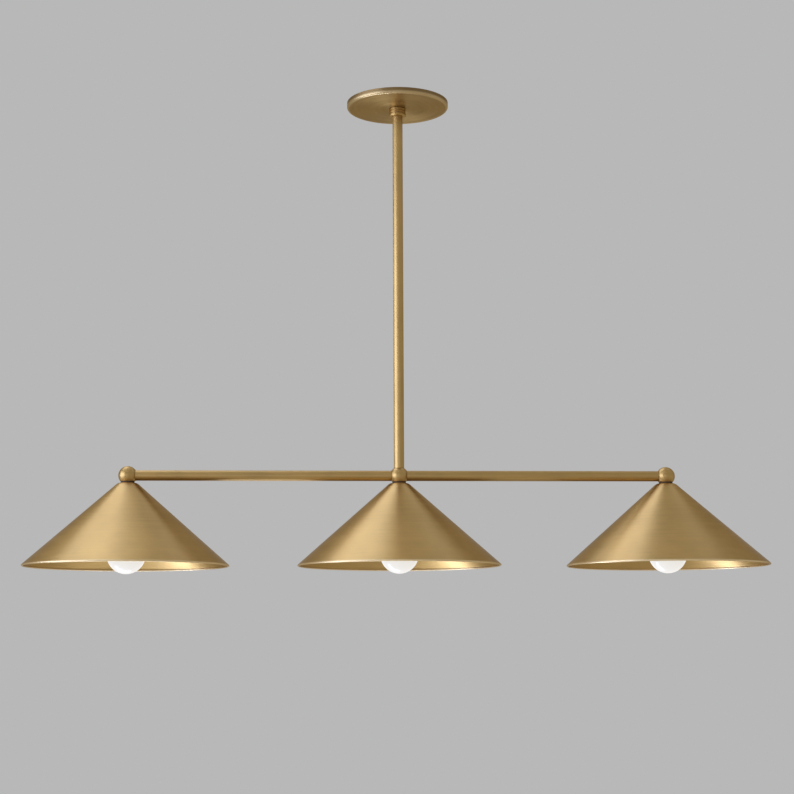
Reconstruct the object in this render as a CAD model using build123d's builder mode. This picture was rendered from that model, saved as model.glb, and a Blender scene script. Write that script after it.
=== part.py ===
from build123d import *
from math import sqrt
import os

# Linear island pendant, in millimetres. The origin is the middle of the ceiling
# plane, +Z is up and +X runs along the bar. Depths are measured down from the
# centre line of the bar, which passes through the middle of the three balls.

# overall
drop = 476.0                    # ceiling plane to the centre line of the bar
lamp_pitch = 331.5              # from one ball to the next
running_gap = 0.3               # between faces that move past each other

# tubes, balls and the 1/8-IP thread that joins them
tube_diameter = 12.7
tube_bore = 8.7
tube_chamfer = 0.3
ball_diameter = 22.8
arm_seat_rim = 0.25             # how far a ball's flat stands out round its tube
ball_base_depth = 7.2           # flat on the underside of each ball
thread_diameter = 10.2
thread_clearance = 0.05         # radial, nipple in its tapped hole
nipple_bore = 7.2
nipple_chamfer = 0.6
tapped_depth = 10.0
nipple_length = 12.0
frame_nipple_inset = 5.3        # nipple end to the middle of its ball
lamp_nipple_inset = 4.8
drill_overrun = 1.5             # cross drillings meet past the middle of a ball

# canopy
canopy_diameter = 128.0
canopy_height = 7.5
canopy_wall = 1.2
canopy_corner = 2.2
canopy_hole_clearance = 0.35

# collar under the canopy
collar_bore_clearance = 0.05
collar_neck_radius = 9.0
collar_neck_height = 0.6
collar_ring_radius = 10.2
collar_ring_height = 2.6
collar_groove_radius = 9.3
collar_groove_height = 0.8
collar_foot_radius = 10.6
collar_foot_height = 2.9
collar_foot_round = 1.3
grub_radius = 1.5
grub_length = 3.2
grub_key_flats = 1.5
grub_key_depth = 1.6
screw_clearance = 0.1           # radial, round every screw

# crossbar: its slots take ceiling-box screws 70 to 89 mm apart
crossbar_length = 108.0
crossbar_width = 22.0
crossbar_thickness = 2.5
slot_spacing = 79.4
slot_width = 4.8
slot_length = 14.4
crossbar_nipple_above = 13.0
locknut_flats = 14.3
locknut_thickness = 3.2
lock_washer_radius = 8.5
lock_washer_thickness = 0.8
ground_screw_place = 20.0
ground_screw_radius = 2.0
ground_head_radius = 4.2
ground_head_height = 2.4
ground_screw_above = 4.0

# shade
shade_diameter = 249.0
shade_height = 101.8
shade_wall = 1.2
shade_crown_radius = 11.4       # where the line of the cone meets the flat top
shade_shoulder_round = 8.0
shade_rim_height = 1.2          # short upright turn at the rim
shade_rim_round = 2.0
seat_washer_radius = 8.3
seat_washer_thickness = 1.8
shade_washer_radius = 8.0
shade_washer_thickness = 1.0

# socket cup
cup_wall = 0.8
cup_crown_radius = 11.0
cup_radius = 19.4
cup_height = 35.0
cup_shoulder_height = 7.5
cup_crown_round = 3.0
cup_shoulder_round = 5.0

# bridge: the threaded hub and legs that carry the porcelain
hub_radius = 7.5
hub_height = 6.4
bridge_thickness = 1.5
bridge_half_width = 13.0
leg_width = 8.0
wiring_height = 8.0             # open height between hub and porcelain
foot_length = 7.5
bridge_screw_place = 8.5
bridge_screw_radius = 1.5
bridge_head_radius = 2.8
bridge_head_height = 1.4
bridge_screw_bite = 2.8         # length inside the porcelain

# porcelain
body_radius = 17.6
body_length = 31.0
body_web = 3.6
lamp_cavity_radius = 14.2
body_lip_round = 1.5
body_crown_chamfer = 1.0

# screw shell, centre contact and terminals
shell_radius = 13.35            # inside
shell_wall = 0.4
shell_ring_radius = 6.0
shell_length = 24.0
shell_top_gap = 0.4
contact_radius = 4.2
contact_thickness = 0.7
rivet_radius = 1.4
tab_thickness = 0.8
tab_width = 5.0
terminal_place = 11.0
tab_end_margin = 3.2
neutral_rivet_place = 7.6
terminal_radius = 1.5
terminal_head_radius = 2.8
terminal_head_height = 1.6
terminal_bite = 2.4

# bulb with a medium screw base
bulb_radius = 23.6
bulb_wall = 1.0
bulb_below_rim = 9.0            # how far the globe shows under the shade
bulb_neck_radius = 12.4
cap_radius = 12.95
cap_wall = 0.4
cap_length = 23.0
cap_shoulder_radius = 8.6
insulator_height = 3.0
tip_radius = 4.6
tip_height = 1.2
board_radius = 10.6
board_thickness = 1.6
board_post_radius = 8.0
chip_count = 8
chip_size = 3.0
chip_height = 0.8
chip_circle = 7.4

# leads
wire_diameter = 2.1
wire_spacing = 2.2              # between neighbours in a tube
wire_above_nipple = 3.0
ball_bend = 4.3
stem_bend = 3.3
terminal_bend = 4.0
nipple_exit_bend = 4.5
wire_terminal_gap = 0.25

# worked out from the sizes above
bar_z = -drop
tube_radius = tube_diameter / 2
ball_radius = ball_diameter / 2
thread_radius = thread_diameter / 2
tapped_radius = thread_radius + thread_clearance
arm_seat = sqrt(ball_radius**2 - (tube_radius + arm_seat_rim) ** 2)
stem_top = -crossbar_thickness - running_gap
shade_radius = shade_diameter / 2
shade_top = ball_base_depth + seat_washer_thickness
shade_inner_top = shade_top + shade_wall
rim_depth = shade_top + shade_height
cup_top = shade_inner_top + shade_washer_thickness
hub_top = cup_top + cup_wall
hub_bottom = hub_top + hub_height
body_top = hub_bottom + wiring_height
web_bottom = body_top + body_web
contact_bottom = web_bottom + contact_thickness
tip_top = contact_bottom + running_gap
insulator_top = tip_top + tip_height
cap_shoulder = insulator_top + insulator_height
cap_bottom = cap_shoulder + cap_length
bulb_middle = rim_depth + bulb_below_rim - bulb_radius
tab_top = body_top - tab_thickness
wire_radius = wire_diameter / 2
wire_top = crossbar_nipple_above + wire_above_nipple
wire_row = wire_spacing / 2
side_wire_x = wire_spacing * sqrt(3) / 2

lamps = {"left": -lamp_pitch, "centre": 0.0, "right": lamp_pitch}


def section(x):
    """Upright plane through one lamp: first axis is radius, second is height."""
    return Plane(origin=(x, 0, bar_z), x_dir=(1, 0, 0), z_dir=(0, -1, 0))


def level(x, depth, y=0.0):
    """Horizontal plane at a depth below the bar, centred on one lamp."""
    return Plane(origin=(x, y, bar_z - depth))


def upright(x):
    """Vertical axis through one lamp."""
    return Axis((x, 0, bar_z), (0, 0, 1))


def round_ends(piece, radius):
    """The circular edges of one radius, which are the ends of a tube or a nipple."""
    circles = piece.edges().filter_by(GeomType.CIRCLE)
    return circles.filter_by(lambda edge: abs(edge.radius - radius) < 0.01)


def save(piece, name):
    piece.part.label = name
    export_step(piece.part, f"parts/{name}.step")


os.makedirs("parts", exist_ok=True)

# ---------- ceiling end ----------

with BuildPart() as crossbar:
    with BuildSketch(Plane.XY.offset(-crossbar_thickness)):
        SlotOverall(crossbar_length, crossbar_width)
        with Locations((-slot_spacing / 2, 0), (slot_spacing / 2, 0)):
            SlotOverall(slot_length, slot_width, mode=Mode.SUBTRACT)
        Circle(tapped_radius, mode=Mode.SUBTRACT)
        with Locations((ground_screw_place, 0)):
            Circle(ground_screw_radius + screw_clearance, mode=Mode.SUBTRACT)
    extrude(amount=crossbar_thickness)
save(crossbar, "crossbar")

with BuildPart() as crossbar_nipple:
    with BuildSketch(Plane.XY.offset(stem_top - tapped_depth)):
        Circle(thread_radius)
        Circle(nipple_bore / 2, mode=Mode.SUBTRACT)
    extrude(amount=crossbar_nipple_above - stem_top + tapped_depth)
    chamfer(round_ends(crossbar_nipple, thread_radius), nipple_chamfer)
save(crossbar_nipple, "crossbar_nipple")

with BuildPart() as lock_washer:
    with BuildSketch():
        Circle(lock_washer_radius)
        Circle(tapped_radius, mode=Mode.SUBTRACT)
    extrude(amount=lock_washer_thickness)
save(lock_washer, "crossbar_lock_washer")

with BuildPart() as locknut:
    with BuildSketch(Plane.XY.offset(lock_washer_thickness)):
        RegularPolygon(locknut_flats / 2, 6, major_radius=False)
        Circle(tapped_radius, mode=Mode.SUBTRACT)
    extrude(amount=locknut_thickness)
save(locknut, "crossbar_locknut")

with BuildPart() as ground_screw:
    with BuildSketch(Plane.XY.offset(-crossbar_thickness)):
        with Locations((ground_screw_place, 0)):
            RegularPolygon(ground_head_radius, 6)
    extrude(amount=-ground_head_height)
    with BuildSketch(Plane.XY.offset(-crossbar_thickness)):
        with Locations((ground_screw_place, 0)):
            Circle(ground_screw_radius)
    extrude(amount=crossbar_thickness + ground_screw_above)
save(ground_screw, "ground_screw")

with BuildPart() as canopy:
    with BuildSketch(Plane.XZ):
        with BuildLine():
            FilletPolyline(
                (tube_radius + canopy_hole_clearance, -canopy_height),
                (canopy_diameter / 2, -canopy_height),
                (canopy_diameter / 2, 0),
                radius=canopy_corner,
            )
            offset(amount=canopy_wall, side=Side.LEFT)
        make_face()
    revolve(axis=Axis.Z)
save(canopy, "canopy")

# The collar's rings and grooves, from the canopy down
collar_steps = [
    (collar_neck_radius, collar_neck_height),
    (collar_ring_radius, collar_ring_height),
    (collar_groove_radius, collar_groove_height),
    (collar_ring_radius, collar_ring_height),
    (collar_groove_radius, collar_groove_height),
    (collar_foot_radius, collar_foot_height),
]
collar_height = sum(height for radius, height in collar_steps)
collar_bottom = -canopy_height - collar_height
grub_z = -canopy_height - collar_neck_height - 1.5 * collar_ring_height - collar_groove_height

with BuildPart() as collar:
    step_top = -canopy_height
    for step_radius, step_height in collar_steps:
        with BuildSketch(Plane.XY.offset(step_top)):
            Circle(step_radius)
        extrude(amount=-step_height)
        step_top = step_top - step_height
    fillet(collar.edges().sort_by(Axis.Z)[0], collar_foot_round)
    with BuildSketch(Plane.XY.offset(-canopy_height)):
        Circle(tube_radius + collar_bore_clearance)
    extrude(amount=-collar_height, mode=Mode.SUBTRACT)
    with BuildSketch(Plane.XZ):
        with Locations((0, grub_z)):
            Circle(grub_radius + thread_clearance)
    extrude(amount=-collar_foot_radius, mode=Mode.SUBTRACT)
save(collar, "collar")

with BuildPart() as grub:
    with BuildSketch(Plane.XZ.offset(-tube_radius - running_gap)):
        with Locations((0, grub_z)):
            Circle(grub_radius)
    extrude(amount=-grub_length)
    with BuildSketch(Plane.XZ.offset(-tube_radius - running_gap - grub_length)):
        with Locations((0, grub_z)):
            RegularPolygon(grub_key_flats / 2, 6, major_radius=False)
    extrude(amount=grub_key_depth, mode=Mode.SUBTRACT)
save(grub, "collar_set_screw")

# ---------- stem, arms and balls ----------

with BuildPart() as stem:
    with BuildSketch(Plane.XY.offset(bar_z + arm_seat)):
        Circle(tube_radius)
        Circle(tube_bore / 2, mode=Mode.SUBTRACT)
    extrude(amount=stem_top - bar_z - arm_seat)
    with BuildSketch(Plane.XY.offset(bar_z + arm_seat), Plane.XY.offset(stem_top - tapped_depth)):
        Circle(tapped_radius)
    extrude(amount=tapped_depth, mode=Mode.SUBTRACT)
    chamfer(round_ends(stem, tube_radius), tube_chamfer)
save(stem, "stem_tube")

for side, name in ((-1, "left_arm_tube"), (1, "right_arm_tube")):
    near_end = Plane((side * arm_seat, 0, bar_z), z_dir=(side, 0, 0))
    far_end = Plane((side * (lamp_pitch - arm_seat), 0, bar_z), z_dir=(-side, 0, 0))
    with BuildPart() as arm:
        with BuildSketch(near_end):
            Circle(tube_radius)
            Circle(tube_bore / 2, mode=Mode.SUBTRACT)
        extrude(amount=lamp_pitch - 2 * arm_seat)
        with BuildSketch(near_end, far_end):
            Circle(tapped_radius)
        extrude(amount=tapped_depth, mode=Mode.SUBTRACT)
        chamfer(round_ends(arm, tube_radius), tube_chamfer)
    save(arm, name)

# Each ball is a sphere with a flat wherever something screws in, and a tapped hole
# behind each flat. The drillings meet in the middle, where the leads turn the corner.
ball_joints = {
    "left": [(1, 0, 0)],
    "centre": [(-1, 0, 0), (1, 0, 0), (0, 0, 1)],
    "right": [(-1, 0, 0)],
}
for name, x in lamps.items():
    with BuildPart(level(x, 0)) as ball:
        Sphere(ball_radius)
        flats = [(Vector(out), arm_seat) for out in ball_joints[name]]
        flats = flats + [(Vector(0, 0, -1), ball_base_depth)]
        for out, seat in flats:
            split(bisect_by=Plane(Vector(x, 0, bar_z) + out * seat, z_dir=out), keep=Keep.BOTTOM)
        for out, seat in flats:
            with BuildSketch(Plane(Vector(x, 0, bar_z) - out * drill_overrun, z_dir=out)):
                Circle(tapped_radius)
            extrude(amount=ball_radius + drill_overrun, mode=Mode.SUBTRACT)
    save(ball, f"{name}_ball")

# Five nipples screw tubes to balls: two ends of each arm, and the foot of the stem
nipple_starts = [
    Plane((-lamp_pitch + frame_nipple_inset, 0, bar_z), z_dir=(1, 0, 0)),
    Plane((-frame_nipple_inset, 0, bar_z), z_dir=(-1, 0, 0)),
    Plane((frame_nipple_inset, 0, bar_z), z_dir=(1, 0, 0)),
    Plane((lamp_pitch - frame_nipple_inset, 0, bar_z), z_dir=(-1, 0, 0)),
    Plane((0, 0, bar_z + frame_nipple_inset), z_dir=(0, 0, 1)),
]
with BuildPart() as frame_nipples:
    with BuildSketch(*nipple_starts):
        Circle(thread_radius)
        Circle(nipple_bore / 2, mode=Mode.SUBTRACT)
    extrude(amount=nipple_length)
    chamfer(round_ends(frame_nipples, thread_radius), nipple_chamfer)
save(frame_nipples, "frame_nipples")

# ---------- what holds each shade: nipple, washers ----------

with BuildPart() as lamp_nipples:
    with BuildSketch(*[level(x, lamp_nipple_inset) for x in lamps.values()]):
        Circle(thread_radius)
        Circle(nipple_bore / 2, mode=Mode.SUBTRACT)
    extrude(amount=-nipple_length)
    chamfer(round_ends(lamp_nipples, thread_radius), nipple_chamfer)
save(lamp_nipples, "lamp_nipples")

with BuildPart() as seat_washers:
    with BuildSketch(*[level(x, ball_base_depth) for x in lamps.values()]):
        Circle(seat_washer_radius)
        Circle(tapped_radius, mode=Mode.SUBTRACT)
    extrude(amount=-seat_washer_thickness)
save(seat_washers, "seat_washers")

with BuildPart() as lock_washers:
    with BuildSketch(*[level(x, shade_inner_top) for x in lamps.values()]):
        Circle(shade_washer_radius)
        Circle(tapped_radius, mode=Mode.SUBTRACT)
    extrude(amount=-shade_washer_thickness)
save(lock_washers, "lock_washers")

# ---------- the three lamps ----------


def make_shade(x):
    """Spun cone: flat crown, rounded shoulder, straight side, short upright rim."""
    with BuildPart() as shade:
        with BuildSketch(section(x)):
            with BuildLine():
                FilletPolyline(
                    (tapped_radius, -shade_top),
                    (shade_crown_radius, -shade_top),
                    (shade_radius, shade_rim_height - rim_depth),
                    (shade_radius, -rim_depth),
                    radius=[shade_shoulder_round, shade_rim_round],
                )
                offset(amount=shade_wall, side=Side.RIGHT)
            make_face()
        revolve(axis=upright(x))
    return shade


def make_cup(x):
    """Cup over the socket, with a shoulder that follows the shade."""
    with BuildPart() as cup:
        with BuildSketch(section(x)):
            with BuildLine():
                FilletPolyline(
                    (tapped_radius, -cup_top),
                    (cup_crown_radius, -cup_top),
                    (cup_radius, -cup_top - cup_shoulder_height),
                    (cup_radius, -cup_top - cup_height),
                    radius=[cup_crown_round, cup_shoulder_round],
                )
                offset(amount=cup_wall, side=Side.RIGHT)
            make_face()
        revolve(axis=upright(x))
    return cup


def make_bridge(x):
    """Threaded hub on a strap whose two legs turn in to feet on the porcelain."""
    leg_middle = bridge_half_width - bridge_thickness / 2
    foot_middle = bridge_half_width - foot_length / 2
    with BuildPart() as bridge:
        with BuildSketch(level(x, hub_top)):
            Circle(hub_radius)
        extrude(amount=-hub_height)
        with BuildSketch(level(x, hub_bottom)):
            Rectangle(2 * bridge_half_width, leg_width)
        extrude(amount=bridge_thickness)
        with BuildSketch(level(x, hub_bottom)):
            with Locations((-leg_middle, 0), (leg_middle, 0)):
                Rectangle(bridge_thickness, leg_width)
        extrude(amount=-wiring_height)
        with BuildSketch(level(x, body_top)):
            with Locations((-foot_middle, 0), (foot_middle, 0)):
                Rectangle(foot_length, leg_width)
        extrude(amount=bridge_thickness)
        fillet(bridge.edges().filter_by(Axis.Y).group_by(Axis.X)[0], bridge_thickness / 2)
        fillet(bridge.edges().filter_by(Axis.Y).group_by(Axis.X)[-1], bridge_thickness / 2)
        with BuildSketch(level(x, hub_top)):
            Circle(tapped_radius)
        extrude(amount=-hub_height, mode=Mode.SUBTRACT)
        with BuildSketch(level(x, body_top)):
            with Locations((-bridge_screw_place, 0), (bridge_screw_place, 0)):
                Circle(bridge_screw_radius + screw_clearance)
        extrude(amount=bridge_thickness, mode=Mode.SUBTRACT)
    return bridge


def make_body(x):
    """Porcelain: thick web on top, open cavity for the screw shell below."""
    with BuildPart() as body:
        with BuildSketch(level(x, body_top)):
            Circle(body_radius)
        extrude(amount=-body_length)
        fillet(body.edges().sort_by(Axis.Z)[0], body_lip_round)
        chamfer(body.edges().sort_by(Axis.Z)[-1], body_crown_chamfer)
        with BuildSketch(level(x, web_bottom)):
            Circle(lamp_cavity_radius)
        extrude(amount=web_bottom - body_top - body_length, mode=Mode.SUBTRACT)
        with BuildSketch(level(x, body_top)):
            with Locations((-bridge_screw_place, 0), (bridge_screw_place, 0)):
                Circle(bridge_screw_radius + screw_clearance)
            with Locations((0, -terminal_place), (0, terminal_place)):
                Circle(terminal_radius + screw_clearance)
        extrude(amount=-bridge_screw_bite - screw_clearance, mode=Mode.SUBTRACT)
        with BuildSketch(level(x, body_top)):
            with Locations((0, 0), (0, -neutral_rivet_place)):
                Circle(rivet_radius + screw_clearance)
        extrude(amount=-body_web, mode=Mode.SUBTRACT)
    return body


def make_screw_shell(x):
    """Screw shell with its top ring, a rivet through the web and a terminal tab."""
    ring_top = web_bottom + shell_top_gap
    tab_start = neutral_rivet_place - tab_width / 2
    tab_length = terminal_place + tab_end_margin - tab_start
    with BuildPart() as screw_shell:
        with BuildSketch(section(x)):
            with BuildLine():
                Polyline(
                    (shell_ring_radius, -ring_top),
                    (shell_radius + shell_wall, -ring_top),
                    (shell_radius + shell_wall, -ring_top - shell_length),
                )
                offset(amount=shell_wall, side=Side.RIGHT, kind=Kind.INTERSECTION)
            make_face()
        revolve(axis=upright(x))
        with BuildSketch(level(x, ring_top, -neutral_rivet_place)):
            Circle(rivet_radius)
        extrude(amount=ring_top - body_top)
        with BuildSketch(level(x, body_top, -tab_start - tab_length / 2)):
            Rectangle(tab_width, tab_length)
        extrude(amount=tab_thickness)
        with BuildSketch(level(x, body_top, -terminal_place)):
            Circle(terminal_radius + screw_clearance)
        extrude(amount=tab_thickness, mode=Mode.SUBTRACT)
    return screw_shell


def make_centre_contact(x):
    """Spring contact under the web, riveted through it to the live tab on top."""
    tab_length = terminal_place + tab_end_margin + tab_width / 2
    with BuildPart() as contact:
        with BuildSketch(level(x, contact_bottom)):
            Circle(contact_radius)
        extrude(amount=contact_thickness)
        with BuildSketch(level(x, web_bottom)):
            Circle(rivet_radius)
        extrude(amount=body_web)
        with BuildSketch(level(x, body_top, tab_length / 2 - tab_width / 2)):
            Rectangle(tab_width, tab_length)
        extrude(amount=tab_thickness)
        with BuildSketch(level(x, body_top, terminal_place)):
            Circle(terminal_radius + screw_clearance)
        extrude(amount=tab_thickness, mode=Mode.SUBTRACT)
    return contact


def make_globe(x):
    """White glass: a ball on a straight neck that meets it tangentially."""
    neck_rise = bulb_middle - cap_bottom
    reach = sqrt(neck_rise**2 + bulb_neck_radius**2)
    tangent = sqrt(reach**2 - bulb_radius**2)
    touch_radius = bulb_radius * (bulb_neck_radius * bulb_radius + neck_rise * tangent) / reach**2
    touch_height = sqrt(bulb_radius**2 - touch_radius**2)
    with BuildPart() as globe:
        with BuildSketch(section(x)):
            with BuildLine():
                neck = Line(
                    (bulb_neck_radius, -cap_bottom),
                    (touch_radius, touch_height - bulb_middle),
                )
                TangentArc(neck @ 1, (0, -bulb_middle - bulb_radius), tangent=neck % 1)
                offset(amount=bulb_wall, side=Side.RIGHT)
            make_face()
        revolve(axis=upright(x))
    return globe


def make_cap(x):
    """Screw cap of the bulb: a thin can, open at the glass, holed at the insulator."""
    with BuildPart() as cap:
        with BuildSketch(section(x)):
            with BuildLine():
                Polyline(
                    (tip_radius, -cap_shoulder),
                    (cap_shoulder_radius, -cap_shoulder),
                    (cap_radius, -cap_shoulder - (cap_radius - cap_shoulder_radius)),
                    (cap_radius, -cap_bottom),
                )
                offset(amount=cap_wall, side=Side.RIGHT, kind=Kind.INTERSECTION)
            make_face()
        revolve(axis=upright(x))
    return cap


def make_insulator(x):
    """Glass cone between the screw cap and the tip."""
    with BuildPart() as insulator:
        with BuildSketch(level(x, cap_shoulder)):
            Circle(cap_shoulder_radius)
        with BuildSketch(level(x, insulator_top)):
            Circle(tip_radius)
        loft()
    return insulator


def make_tip(x):
    """Solder contact of the bulb."""
    with BuildPart() as tip:
        with BuildSketch(level(x, insulator_top)):
            Circle(tip_radius - tip_height / 2)
        extrude(amount=tip_height)
        fillet(tip.edges().sort_by(Axis.Z)[-1], tip_height / 2)
    return tip


def make_light_board(x):
    """Post from the cap up to a round board that carries a ring of light chips."""
    with BuildPart() as board:
        with BuildSketch(level(x, cap_shoulder + cap_wall)):
            Circle(board_post_radius)
        extrude(amount=cap_shoulder + cap_wall - cap_bottom)
        with BuildSketch(level(x, cap_bottom)):
            Circle(board_radius)
        extrude(amount=-board_thickness)
        with BuildSketch(level(x, cap_bottom + board_thickness)):
            with PolarLocations(chip_circle, chip_count):
                Rectangle(chip_size, chip_size)
        extrude(amount=-chip_height)
    return board


def make_wire(x, side):
    """Lead from a terminal, up its nipple, through the arm if any, and up the stem."""
    wire_depth = tab_top - screw_clearance - wire_radius
    row_y = side * (wire_row if x else wire_spacing)
    stem_x = side_wire_x * (x > 0) - side_wire_x * (x < 0)
    screw_edge = terminal_place - terminal_head_radius - wire_terminal_gap
    run_out = side * (screw_edge - terminal_bend / 2)
    drop_depth = hub_bottom + nipple_exit_bend / 2
    corners = [
        (x, side * screw_edge, bar_z - wire_depth),
        (x, run_out, bar_z - wire_depth),
        (x, row_y, bar_z - drop_depth),
    ]
    bends = [terminal_bend, nipple_exit_bend]
    if x:
        corners = corners + [(x, row_y, bar_z), (stem_x, row_y, bar_z)]
        bends = bends + [ball_bend, stem_bend]
    corners = corners + [(stem_x, row_y, wire_top)]
    with BuildPart() as wire:
        with BuildLine() as route:
            FilletPolyline(*corners, radius=bends)
        with BuildSketch(Plane(corners[0], z_dir=route.line % 0)):
            Circle(wire_radius)
        sweep()
    return wire


for name, x in lamps.items():
    save(make_shade(x), f"{name}_shade")
    save(make_cup(x), f"{name}_socket_cup")
    save(make_bridge(x), f"{name}_socket_bridge")
    save(make_body(x), f"{name}_socket_body")
    save(make_screw_shell(x), f"{name}_screw_shell")
    save(make_centre_contact(x), f"{name}_centre_contact")
    save(make_globe(x), f"{name}_bulb_globe")
    save(make_cap(x), f"{name}_bulb_cap")
    save(make_insulator(x), f"{name}_bulb_insulator")
    save(make_tip(x), f"{name}_bulb_tip")
    save(make_light_board(x), f"{name}_light_board")
    save(make_wire(x, 1), f"{name}_live_wire")
    save(make_wire(x, -1), f"{name}_neutral_wire")

# Screws repeat at every lamp, so each kind is one group of separate solids
with BuildPart() as bridge_screws:
    for x in lamps.values():
        for side in (-1, 1):
            place = x + side * bridge_screw_place
            with BuildSketch(level(place, body_top - bridge_thickness)):
                Circle(bridge_head_radius)
            extrude(amount=bridge_head_height)
            with BuildSketch(level(place, body_top - bridge_thickness)):
                Circle(bridge_screw_radius)
            extrude(amount=-bridge_thickness - bridge_screw_bite)
save(bridge_screws, "bridge_screws")

with BuildPart() as terminal_screws:
    for x in lamps.values():
        for side in (-1, 1):
            with BuildSketch(level(x, tab_top, side * terminal_place)):
                Circle(terminal_head_radius)
            extrude(amount=terminal_head_height)
            with BuildSketch(level(x, tab_top, side * terminal_place)):
                Circle(terminal_radius)
            extrude(amount=-tab_thickness - terminal_bite)
save(terminal_screws, "terminal_screws")
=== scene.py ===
import bpy
from math import atan2, ceil, cos, degrees, pi, radians, sin, sqrt, tan
from mathutils import Euler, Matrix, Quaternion, Vector


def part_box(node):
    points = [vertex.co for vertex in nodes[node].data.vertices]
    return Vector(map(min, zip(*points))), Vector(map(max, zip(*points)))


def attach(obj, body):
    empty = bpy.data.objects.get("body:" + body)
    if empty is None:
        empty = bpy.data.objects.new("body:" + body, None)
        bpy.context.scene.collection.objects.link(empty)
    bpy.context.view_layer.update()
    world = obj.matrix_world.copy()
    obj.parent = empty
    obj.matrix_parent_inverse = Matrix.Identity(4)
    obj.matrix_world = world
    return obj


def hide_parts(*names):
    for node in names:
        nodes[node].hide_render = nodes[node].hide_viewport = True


# Looks of a linear island pendant: three cone shades on a brass bar.
# Metres, the CAD model's own frame: +Z up, +X along the bar, ceiling at zero.

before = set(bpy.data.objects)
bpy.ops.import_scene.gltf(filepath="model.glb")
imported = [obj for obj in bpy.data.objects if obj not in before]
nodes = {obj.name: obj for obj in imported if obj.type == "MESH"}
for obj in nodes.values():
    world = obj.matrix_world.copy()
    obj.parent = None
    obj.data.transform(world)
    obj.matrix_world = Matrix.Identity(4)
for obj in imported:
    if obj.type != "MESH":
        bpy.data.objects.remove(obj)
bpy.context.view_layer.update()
print("frame loaded,", len(nodes), "nodes")

sides = ["left", "centre", "right"]


def middleOf(node):
    low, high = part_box(node)
    return (low + high) / 2


def radiusOf(node):
    low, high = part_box(node)
    return min(high.x - low.x, high.y - low.y) / 2


lampX = {side: middleOf(side + "_shade").x for side in sides}
barZ = middleOf("left_arm_tube").z

cameraSet = {
    "fromBall": Vector((-0.12019, -2.06878, -0.21267)),  # metres from the middle ball
    "yaw": -3.2657,  # degrees
    "pitch": 8.5322,
    "roll": 0.2443,
    "lens": 76.648,  # millimetres
    "sensor": 36.0,
    "nearest": 0.05,
    "farthest": 50,
}


def makeCamera():
    bpy.ops.object.camera_add(location=Vector((0, 0, barZ)) + cameraSet["fromBall"])
    camera = bpy.context.active_object
    camera.name = "photo_camera"
    turn = Euler((0, 0, radians(cameraSet["yaw"]))).to_matrix()
    turn = turn @ Euler((radians(cameraSet["pitch"]), 0, 0)).to_matrix()
    turn = turn @ Euler((0, radians(cameraSet["roll"]), 0)).to_matrix()
    turn = turn @ Euler((radians(90), 0, 0)).to_matrix()
    camera.rotation_euler = turn.to_euler()
    camera.data.lens = cameraSet["lens"]
    camera.data.sensor_width = cameraSet["sensor"]
    camera.data.clip_start = cameraSet["nearest"]
    camera.data.clip_end = cameraSet["farthest"]
    bpy.context.scene.camera = camera


makeCamera()
print("camera ready")


def newMaterial(name):
    material = bpy.data.materials.new(name)
    material.use_nodes = True
    return material, material.node_tree


def addNode(tree, kind, **settings):
    node = tree.nodes.new(kind)
    for setting, value in settings.items():
        setattr(node, setting, value)
    return node


def joinMath(tree, operation, first, second):
    node = addNode(tree, "ShaderNodeMath", operation=operation)
    for place, value in enumerate((first, second)):
        if isinstance(value, (int, float)):
            node.inputs[place].default_value = value
        else:
            tree.links.new(value, node.inputs[place])
    return node.outputs[0]


stageSet = {
    "floorZ": -3.1,
    "floorRadius": 6.2,
    "floorSteps": 96,
    "floorColour": (0.80, 0.75, 0.62, 1),
    "floorRoughness": 0.85,
    "background": (0.479, 0.479, 0.479, 1),  # what the camera, metal and glass see
    "skyColour": (1, 1, 1, 1),
    "skyLight": 0.55,
}


def makeFloor():
    bpy.ops.mesh.primitive_circle_add(vertices=stageSet["floorSteps"], radius=stageSet["floorRadius"],
                                      fill_type="NGON", location=(0, 0, stageSet["floorZ"]))
    floor = bpy.context.active_object
    floor.name = "floor"
    material, tree = newMaterial("paleFloor")
    shader = tree.nodes["Principled BSDF"]
    shader.inputs["Base Color"].default_value = stageSet["floorColour"]
    shader.inputs["Roughness"].default_value = stageSet["floorRoughness"]
    floor.data.materials.append(material)


def makeWorld():
    world = bpy.data.worlds.new("studio")
    bpy.context.scene.world = world
    world.use_nodes = True
    tree = world.node_tree
    tree.nodes.clear()
    rays = addNode(tree, "ShaderNodeLightPath").outputs
    seen = joinMath(tree, "MAXIMUM", rays["Is Camera Ray"], rays["Is Glossy Ray"])
    seenThrough = joinMath(tree, "MAXIMUM", seen, rays["Is Transmission Ray"])
    light = addNode(tree, "ShaderNodeBackground")
    light.inputs["Color"].default_value = stageSet["skyColour"]
    light.inputs["Strength"].default_value = stageSet["skyLight"]
    backdrop = addNode(tree, "ShaderNodeBackground")
    backdrop.inputs["Color"].default_value = stageSet["background"]
    mix = addNode(tree, "ShaderNodeMixShader")
    output = addNode(tree, "ShaderNodeOutputWorld")
    for socket, value in zip(mix.inputs, (seenThrough, light.outputs[0], backdrop.outputs[0])):
        tree.links.new(value, socket)
    tree.links.new(mix.outputs[0], output.inputs[0])


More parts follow.
